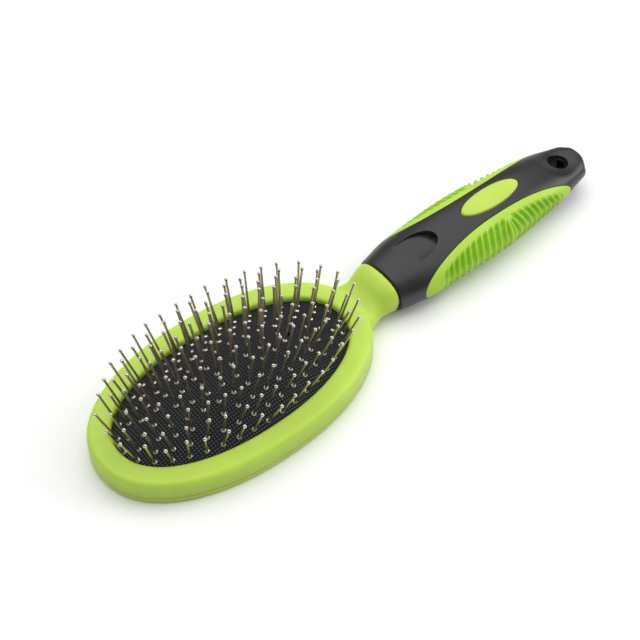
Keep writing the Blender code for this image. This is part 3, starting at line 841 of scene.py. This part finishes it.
def pin_forms():
    """Wire, ball and eyelet of one pin that stands up from the facing."""
    pins = settings().pins
    centre = pins.long - pins.ball
    # the ball is open below, where the wire goes in
    tilts = np.linspace(-math.pi / 2 + 0.55, math.pi / 2 - 0.02, 14)
    ball = [(pins.ball * math.cos(tilt), centre + pins.ball * math.sin(tilt))
            for tilt in tilts]
    wire = [(pins.wire, height) for height in np.linspace(-2.0 * MM, centre, 5)]
    # the eyelet goes up its outside, over its top and down beside the wire
    foot, high = -0.6 * MM, pins.eyelet_high
    eyelet = [(pins.eyelet, foot), (pins.eyelet, -0.02 * MM),
              (pins.eyelet - 0.05 * MM, 0.06 * MM),
              (pins.wire + 0.12 * MM, high - 0.02 * MM),
              (pins.wire + 0.07 * MM, high), (pins.wire + 0.02 * MM, high - 0.04 * MM),
              (pins.wire + 0.02 * MM, foot)]
    return turned(wire, 12), turned(ball, 20), turned(eyelet, 28)


def build_pins(name, body, node, materials):
    """One group of pins, each leaning outwards more the farther out it stands."""
    head, pins = settings().head, settings().pins
    forms = pin_forms()
    outer_long, outer_wide = PIN_OVALS["outer"][:2]
    points, faces, slots = [], [], []
    offset = 0
    x_places, y_places = pin_places(name)
    count, most = len(x_places), 0.06
    stray = np.random.default_rng(count).normal(0.0, pins.stray, (count, 2))
    for x, y, (stray_x, stray_y) in zip(x_places, y_places, np.clip(stray, -most, most)):
        axis = Vector((pins.lean_along * (x - head.long / 2) / (outer_long * MM) + stray_x,
                       pins.lean_across * y / (outer_wide * MM) + stray_y, 1.0))
        turn = np.array(axis.to_track_quat("Z", "X").to_matrix())
        base = np.array((x, y, float(cushion_height(x, y))))
        for index, (form, form_faces) in enumerate(forms):
            points.append(form @ turn.T + base)
            faces += [tuple(corner + offset for corner in face) for face in form_faces]
            slots += [min(index, 1)] * len(form_faces)
            offset += len(form)
    item = new_object("pins_" + name, place(np.concatenate(points)), faces)
    shade(item, 50.0)
    finish_piece(item, body, "steel_wire", materials[0], node)
    item.data.materials.append(materials[1])
    item.data.polygons.foreach_set("material_index", slots)
    return item


class BRUSH_OT_pins(bpy.types.Operator):
    """Build the six groups of ball-tipped wire pins"""
    bl_idname = "brush.pins"
    bl_label = "Pins"

    def execute(self, context):
        colours = settings().colours
        materials = (metal_finish("steel_wire", tuple(colours.steel), roughness=0.26),
                     metal_finish("ball_tip", tuple(colours.ball), roughness=0.14))
        build_pins("middle", "centre_pins", "pin_row_centre", materials)
        for name in PIN_OVALS:
            build_pins(name, name + "_pins", "pin_ring_" + name, materials)
        return {"FINISHED"}


# ---- handle ---------------------------------------------------------------------

def handle_sizes(distance):
    """Half width, half thickness and underside at distances from the mouth."""
    handle = settings().handle
    rows = np.array(HANDLE_STATIONS) * MM
    order = np.arange(len(rows))
    before, after = rows[np.maximum(order - 1, 0)], rows[np.minimum(order + 1, order[-1])]
    slopes = (after - before) / (after - before)[:, :1]
    at = np.clip(np.atleast_1d(distance), 0.0, handle.body)
    return hermite(rows, slopes, at)[:, 1:].T


def handle_form(name, grow=0.0, tail=True, front=0.0, sections=150, count=HANDLE_POINTS):
    """The outer form of the handle, grown or drawn in all round.

    tail adds its cut corners, and front carries it on past the mouth.
    """
    handle = settings().handle
    body = handle.body if tail else handle.body + grow
    distances = np.linspace(0.0, body, sections)
    rings = []
    for distance, wide, thick, under in zip(distances, *handle_sizes(distances)):
        y, z = superellipse(wide + grow, thick + grow, handle.power, count)
        x = np.full(count, handle.mouth + distance - (front if distance == 0.0 else 0.0))
        away = np.hypot(x - (settings().tail_x() - handle.hole_back), y)
        z = z - np.where(z > 0, handle.dish_deep, 0.0) * smooth_step(handle.dish, 0.0, away)
        rings.append(np.stack([x, y, under + thick + z], axis=1))
    if tail:
        last = rings[-1].copy()
        last[:, 0] = handle.mouth + handle.body + handle.chamfer
        last[:, 1] *= (handle.tail + grow) / (wide + grow)
        rings.append(last)
    return loft(name, rings)


def handle_top(x, y, side=1.0):
    """Height of the handle's surface above or below its middle."""
    handle = settings().handle
    shape = np.shape(x)
    wide, thick, under = (np.reshape(v, shape) for v in
                          handle_sizes(np.ravel(x) - handle.mouth))
    share = np.minimum(1.0, np.abs(y) / wide)
    return under + thick + side * thick * (1.0 - share ** handle.power) ** (1 / handle.power)


def straight_cutter(name, outline):
    """What cuts an outline, seen from above, right through the handle."""
    return loft(name, [[(x, y, z) for x, y in outline] for z in (CUT_LOW, CUT_HIGH)])


def grip_edge(distance):
    """Edge of a side grip from the middle plane, at distances from the grip's start."""
    handle = settings().handle
    ends, _, _ = handle_sizes([handle.grip_at, handle.grip_at + handle.grip_long])
    first = distance < handle.grip_nearest
    end = np.where(first, 0.0, handle.grip_long)
    rise = np.where(first, *ends) + handle.line - handle.grip_inner
    share = (distance - handle.grip_nearest) / (end - handle.grip_nearest)
    return handle.grip_inner + rise * share ** handle.grip_curve


def grip_outline(side):
    """A side grip from above: its curved edge, closed well outside the handle."""
    handle = settings().handle
    distance = np.linspace(0.0, handle.grip_long, HANDLE_POINTS)
    x = handle.mouth + handle.grip_at + distance
    far = side * settings().head.wide
    return [*zip(x, side * grip_edge(distance)), (x[-1], far), (x[0], far)]


def inlay_outline():
    """An oval inlay from above."""
    handle = settings().handle
    x, y = superellipse(handle.inlay_long / 2, handle.inlay_wide / 2, 2.0, HANDLE_POINTS)
    return list(zip(x + handle.mouth + handle.inlay_at + handle.inlay_long / 2, y))


def thumb_cutter():
    """A ramp, shallow at the neck and deepest at its round end."""
    handle = settings().handle
    start = handle.mouth + handle.thumb_at
    half = handle.thumb_wide / 2
    centre = start + handle.thumb_long - handle.thumb_nose
    turn = np.linspace(-math.pi / 2, math.pi / 2, 41)
    straight = np.linspace(start, centre, 12)[:-1]
    flank = np.full(len(straight), half)
    x = np.concatenate([straight, centre + handle.thumb_nose * np.cos(turn), straight[::-1]])
    y = np.concatenate([-flank, half * np.sin(turn), flank])
    share = (x - start) / handle.thumb_long
    sink = handle.thumb_start + (handle.thumb_deep - handle.thumb_start) * share
    top = handle_top(x, np.zeros(len(x)))
    low = np.stack([x, y, top - sink], axis=1)
    high = np.stack([x, y, top + 5 * MM], axis=1)
    return loft("thumb", [low, high])


def hole_cutter():
    """The hang hole."""
    handle = settings().handle
    x, y = superellipse(handle.hole, handle.hole, 2.0, 64)
    x = x + settings().tail_x() - handle.hole_back
    return straight_cutter("hang_hole", list(zip(x, y)))


def build_sleeve(material):
    """The sleeve, with windows for the grips and inlays, the thumb recess and the hole."""
    handle = settings().handle
    sleeve = handle_form("handle_sleeve_skin")
    ease_edges(sleeve, 0.7 * MM, 25.0, 3)
    cut(sleeve, handle_form("bore", grow=-handle.sleeve + 0.2 * MM, tail=False,
                            front=3 * MM, sections=60, count=80))
    for side in (1, -1):
        cut(sleeve, straight_cutter("window", grip_outline(side)))
    cut(sleeve, straight_cutter("inlay_window", inlay_outline()))
    cut(sleeve, thumb_cutter())
    cut(sleeve, hole_cutter())
    ease_edges(sleeve, 0.22 * MM, 45.0)
    shade(sleeve, 40.0)
    return finish_piece(sleeve, "brush", "soft_sleeve", material, "handle_sleeve")


def rib_depth(distance, edge, half):
    """How far a grip is cut back between its ribs.

    edge is how far a point is from the nearest edge, round the section; half is the
    most that this can be.  The ribs part both ways from one place, and a forked rib
    fills the wedge between them.
    """
    handle = settings().handle
    inner = half - handle.rib_margin
    share = np.clip((edge - handle.rib_margin) / np.maximum(inner, 0.1 * MM), 0.0, 1.0)
    sway = handle.rib_sway * np.clip(inner / (9.0 * MM), 0.0, 1.0)
    wedge = handle.rib_part + sway * np.sin(math.pi / 2 * share)
    away = np.abs(distance - handle.rib_turn)
    phase = (away - wedge) / handle.rib_pitch
    outside = handle.rib_pitch * np.abs(phase - np.round(phase))
    fork = 0.28 * wedge
    inside = np.minimum(np.abs(away - fork), wedge - away)
    crest = handle.rib_wide / 2
    valley = smooth_step(0.2 * crest, 3.6 * crest, np.where(away > wedge, outside, inside))
    filled = np.where(away < fork, 0.5, 1.0) * smooth_step(1.3 * MM, 2.3 * MM, wedge)
    valley *= np.where(away > wedge, 1.0, filled)
    # the valleys fade at the border, at both tips and towards the middle of the grip
    valley *= smooth_step(-0.2 * MM, 2.0 * MM, edge - handle.rib_margin)
    valley *= smooth_step(5.0 * MM, 14.0 * MM, distance)
    valley *= smooth_step(2.0 * MM, 11.0 * MM, handle.grip_long - distance)
    valley *= 1.0 - 0.5 * smooth_step(0.5, 1.0, share)
    return handle.rib_deep * valley


def grip_distances():
    """Distances along a side grip, as a column, closer together at its tips."""
    handle = settings().handle
    fine = np.linspace(0.0, handle.grip_long, 4001)
    wide, _, _ = handle_sizes(handle.grip_at + fine)
    held = fine[grip_edge(fine) + handle.line < wide]
    tip = 0.4 * MM * np.linspace(0.0, 1.0, 14) ** 3
    middle = np.linspace(held[0] + tip[-1], held[-1] - tip[-1], 640)[1:-1]
    return np.concatenate([held[0] + tip, middle, held[-1] - tip[::-1]])[:, None]


def grip_sheets(side):
    """Outer and inner face of a side grip as grids of points, and the valleys' depth."""
    handle = settings().handle
    distance = grip_distances()
    wide, thick, under = (size[:, None] for size in
                          handle_sizes(handle.grip_at + distance[:, 0]))
    exponent = handle.power
    edge_share = np.minimum(1.0, (grip_edge(distance) + handle.line) / wide)
    turn = np.arccos(edge_share ** (exponent / 2)) * np.linspace(1.0, -1.0, 110)[None, :]
    y = wide * np.cos(turn) ** (2 / exponent)
    level = thick * signed_power(np.sin(turn), 2 / exponent)
    normal_y = (y / wide) ** (exponent - 1) / wide
    normal_z = signed_power(level / thick, exponent - 1) / thick
    size = np.hypot(normal_y, normal_z)
    steps = np.hypot(np.diff(y, axis=1), np.diff(level, axis=1))
    travelled = np.concatenate([np.zeros_like(distance), np.cumsum(steps, axis=1)], axis=1)
    half = travelled[:, -1:] / 2
    edge = half - np.abs(travelled - half)
    depth = rib_depth(distance + 0 * y, edge, half)
    sunk = depth + 0.2 * MM * (1.0 - smooth_step(0.0, 0.5 * MM, edge))
    x = handle.mouth + handle.grip_at + distance + 0 * y
    z = under + thick + level - sunk * normal_z / size
    y = y - sunk * normal_y / size
    outer = np.stack([x, side * y, z], axis=2)
    outward = np.stack([0 * y, side * normal_y / size, normal_z / size], axis=2)
    return outer, outer - INSET_THICK * outward, depth


def build_grip(name, side, material, node):
    """A leaf-shaped panel that wraps round the handle's side, with parting ribs."""
    outer, inner, depth = grip_sheets(side)
    points, faces = [], []
    offset = 0
    for sheet in (outer, np.stack([outer[:, 0], inner[:, 0]], axis=1),
                  np.stack([outer[:, -1], inner[:, -1]], axis=1)):
        faces += [tuple(corner + offset for corner in face)
                  for face in grid_faces(*sheet.shape[:2])]
        points.append(sheet.reshape(-1, 3))
        offset += sheet.shape[0] * sheet.shape[1]
    marks = np.zeros(offset)
    # the valleys' depth, which also lays the painted shade into the grip's colour
    marks[:depth.size] = np.ravel(depth) / settings().handle.rib_deep
    panel = new_object(name, place(np.concatenate(points)), faces, {"valley": marks})
    middle_face = panel.data.polygons[depth.size // 2]
    if side * middle_face.normal.y < 0:
        panel.data.flip_normals()
    shade(panel, 60.0)
    return finish_piece(panel, "brush", "soft_grip", material, node)


def build_inlay(name, side, material, node):
    """An oval plate let into the sleeve, slightly crowned and rounded at its edge."""
    handle = settings().handle
    rows, rounding = 40, 0.25 * MM
    middle_x = handle.mouth + handle.inlay_at + handle.inlay_long / 2
    edge_x, edge_y = superellipse(handle.inlay_long / 2 - handle.line,
                                  handle.inlay_wide / 2 - handle.line, 2.0, HANDLE_POINTS)
    share = np.concatenate([[0.01], np.linspace(0.0, 1.0, rows)[1:] ** 0.5])
    x = middle_x + share[:, None] * edge_x[None, :]
    y = share[:, None] * edge_y[None, :]
    proud = handle.inlay_proud if side > 0 else 0.0
    lift = (proud + rounding) * (1.0 - share ** 40)[:, None] - rounding
    z = handle_top(x, y, side) + side * lift
    rings = list(np.stack([x, y, z], axis=2))
    skirt = rings[-1].copy()
    skirt[:, 2] -= side * INSET_THICK
    rings.append(skirt)
    plate = loft(name, rings)
    shade(plate, 60.0)
    return finish_piece(plate, "brush", "green_plastic", material, node)


class BRUSH_OT_sleeve(bpy.types.Operator):
    """Build the soft black sleeve of the handle, and finish the core inside it"""
    bl_idname = "brush.sleeve"
    bl_label = "Sleeve"

    def execute(self, context):
        colours = settings().colours
        build_sleeve(sleeve_finish("soft_sleeve", tuple(colours.sleeve)))
        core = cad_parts["handle_core"]
        core.data.materials.clear()
        core.data.materials.append(core_finish("core_plastic", tuple(colours.core)))
        return {"FINISHED"}


class BRUSH_OT_grips(bpy.types.Operator):
    """Build the two ribbed side grips"""
    bl_idname = "brush.grips"
    bl_label = "Side grips"

    def execute(self, context):
        colours = settings().colours
        material = grip_finish("soft_green_grip", tuple(colours.grip), tuple(colours.valley))
        build_grip("side_grip_left", 1, material, "grip_panel_left")
        build_grip("side_grip_right", -1, material, "grip_panel_right")
        return {"FINISHED"}


class BRUSH_OT_inlays(bpy.types.Operator):
    """Build the two oval inlays of the handle"""
    bl_idname = "brush.inlays"
    bl_label = "Oval inlays"

    def execute(self, context):
        material = plastic_finish("green_inlay", tuple(settings().colours.plastic))
        build_inlay("inlay_top", 1, material, "oval_inlay_top")
        build_inlay("inlay_bottom", -1, material, "oval_inlay_bottom")
        return {"FINISHED"}


# ---- stage ----------------------------------------------------------------------

def floor_finish(rgb, lift):
    """A pale surface that takes the brush's shadow and looks white."""
    made = Finish("pale_floor")
    fleck = made.noise(900.0)
    camera = made.add("ShaderNodeLightPath", out="Is Camera Ray")
    glossy = made.add("ShaderNodeLightPath", out="Is Glossy Ray")
    colours = made.mix((camera + glossy).clamp(), rgb, grey(lift))
    colours = made.mix(0.01 * fleck, colours, grey(0.0))
    return made.surface(base_color=colours, roughness=0.9, specular_ior_level=0.1)


def build_floor():
    """A square floor that reaches far past the brush."""
    reach = 6.0
    corners = [(-reach, -reach, 0.0), (reach, -reach, 0.0),
               (reach, reach, 0.0), (-reach, reach, 0.0)]
    floor = new_object("floor", corners, [(0, 1, 2, 3)])
    floor.data.materials.append(floor_finish(tuple(settings().colours.floor),
                                             settings().studio.paper))


def add_lamp(name, size, at, watts):
    """A soft lamp that shines at the brush."""
    lamp = bpy.data.lights.new(name, "AREA")
    lamp.shape = "RECTANGLE"
    lamp.size, lamp.size_y = size
    lamp.energy = watts
    item = bpy.data.objects.new(name, lamp)
    item.location = at
    item.rotation_euler = (-Vector(at)).to_track_quat("-Z", "Y").to_euler()
    bpy.context.scene.collection.objects.link(item)


def build_world():
    """Even light from all round, and white where the camera sees past the floor."""
    studio = settings().studio
    world = bpy.data.worlds.new("studio")
    made = Nodes(world, "ShaderNodeOutputWorld")
    camera = made.add("ShaderNodeLightPath", out="Is Camera Ray")
    glossy = made.add("ShaderNodeLightPath", out="Is Glossy Ray")
    light = made.mix(camera, grey(studio.ambient), grey(1.0))
    light = made.mix(glossy, light, grey(studio.mirrored))
    made.show(made.add("ShaderNodeBackground", inputs={"Color": light, "Strength": 1.0}))
    bpy.context.scene.world = world


def build_camera():
    """The camera, turned about its target and rolled about its view."""
    studio = settings().studio
    camera = bpy.data.cameras.new("camera")
    camera.lens = studio.lens
    camera.sensor_width = 36.0
    camera.clip_start = 0.01
    item = bpy.data.objects.new("camera", camera)
    bpy.context.scene.collection.objects.link(item)
    back = Vector((math.sin(studio.azimuth) * math.cos(studio.elevation),
                   -math.cos(studio.azimuth) * math.cos(studio.elevation),
                   math.sin(studio.elevation)))
    right = Vector((math.cos(studio.azimuth), math.sin(studio.azimuth), 0.0))
    up = back.cross(right)
    cosine, sine = math.cos(studio.roll), math.sin(studio.roll)
    right, up = right * cosine + up * sine, up * cosine - right * sine
    matrix = Matrix((right, up, back)).transposed().to_4x4()
    matrix.translation = Vector(studio.target) + back * studio.distance
    item.matrix_world = matrix
    bpy.context.scene.camera = item


class BRUSH_OT_stage(bpy.types.Operator):
    """Build the floor, the lamps, the surroundings and the camera"""
    bl_idname = "brush.stage"
    bl_label = "Stage"

    def execute(self, context):
        build_floor()
        build_world()
        build_camera()
        for name, (size, at) in LAMPS.items():
            add_lamp(name, size, at, getattr(settings().studio, name))
        context.scene.view_settings.view_transform = "Standard"
        return {"FINISHED"}


# ---- add-on ---------------------------------------------------------------------

class PinBrush(bpy.types.PropertyGroup):
    """Everything about the brush that can be changed."""
    head: PointerProperty(type=BrushHead)
    cushion: PointerProperty(type=BrushCushion)
    pins: PointerProperty(type=BrushPins)
    handle: PointerProperty(type=BrushHandle)
    colours: PointerProperty(type=BrushColours)
    studio: PointerProperty(type=BrushStudio)

    def tail_x(self):
        """Tip of the head to the end of the tail."""
        return self.handle.mouth + self.handle.body + self.handle.chamfer


OPERATORS = (BRUSH_OT_head, BRUSH_OT_cushion, BRUSH_OT_pins, BRUSH_OT_sleeve,
             BRUSH_OT_grips, BRUSH_OT_inlays, BRUSH_OT_stage)


class BRUSH_PT_panel(bpy.types.Panel):
    """Lists the pieces of the brush and their sizes"""
    bl_idname = "BRUSH_PT_panel"
    bl_label = "Pin brush"
    bl_space_type = "VIEW_3D"
    bl_region_type = "UI"
    bl_category = "Brush"

    def draw(self, context):
        for operator in OPERATORS:
            self.layout.operator(operator.bl_idname)
        for group in ("head", "cushion", "pins", "handle", "colours", "studio"):
            box = self.layout.box()
            owner = getattr(context.scene.pin_brush, group)
            for name in owner.bl_rna.properties.keys():
                if name not in ("rna_type", "name"):
                    box.prop(owner, name)


CLASSES = (BrushHead, BrushCushion, BrushPins, BrushHandle, BrushColours, BrushStudio,
           PinBrush, *OPERATORS, BRUSH_PT_panel)


def register():
    for cls in CLASSES:
        bpy.utils.register_class(cls)
    bpy.types.Scene.pin_brush = PointerProperty(type=PinBrush)


def unregister():
    del bpy.types.Scene.pin_brush
    for cls in reversed(CLASSES):
        bpy.utils.unregister_class(cls)


def main():
    register()
    bpy.ops.brush.stage()
    bpy.ops.brush.head()
    bpy.ops.brush.cushion()
    bpy.ops.brush.pins()
    bpy.ops.brush.sleeve()
    bpy.ops.brush.grips()
    bpy.ops.brush.inlays()


if __name__ == "__main__":
    main()
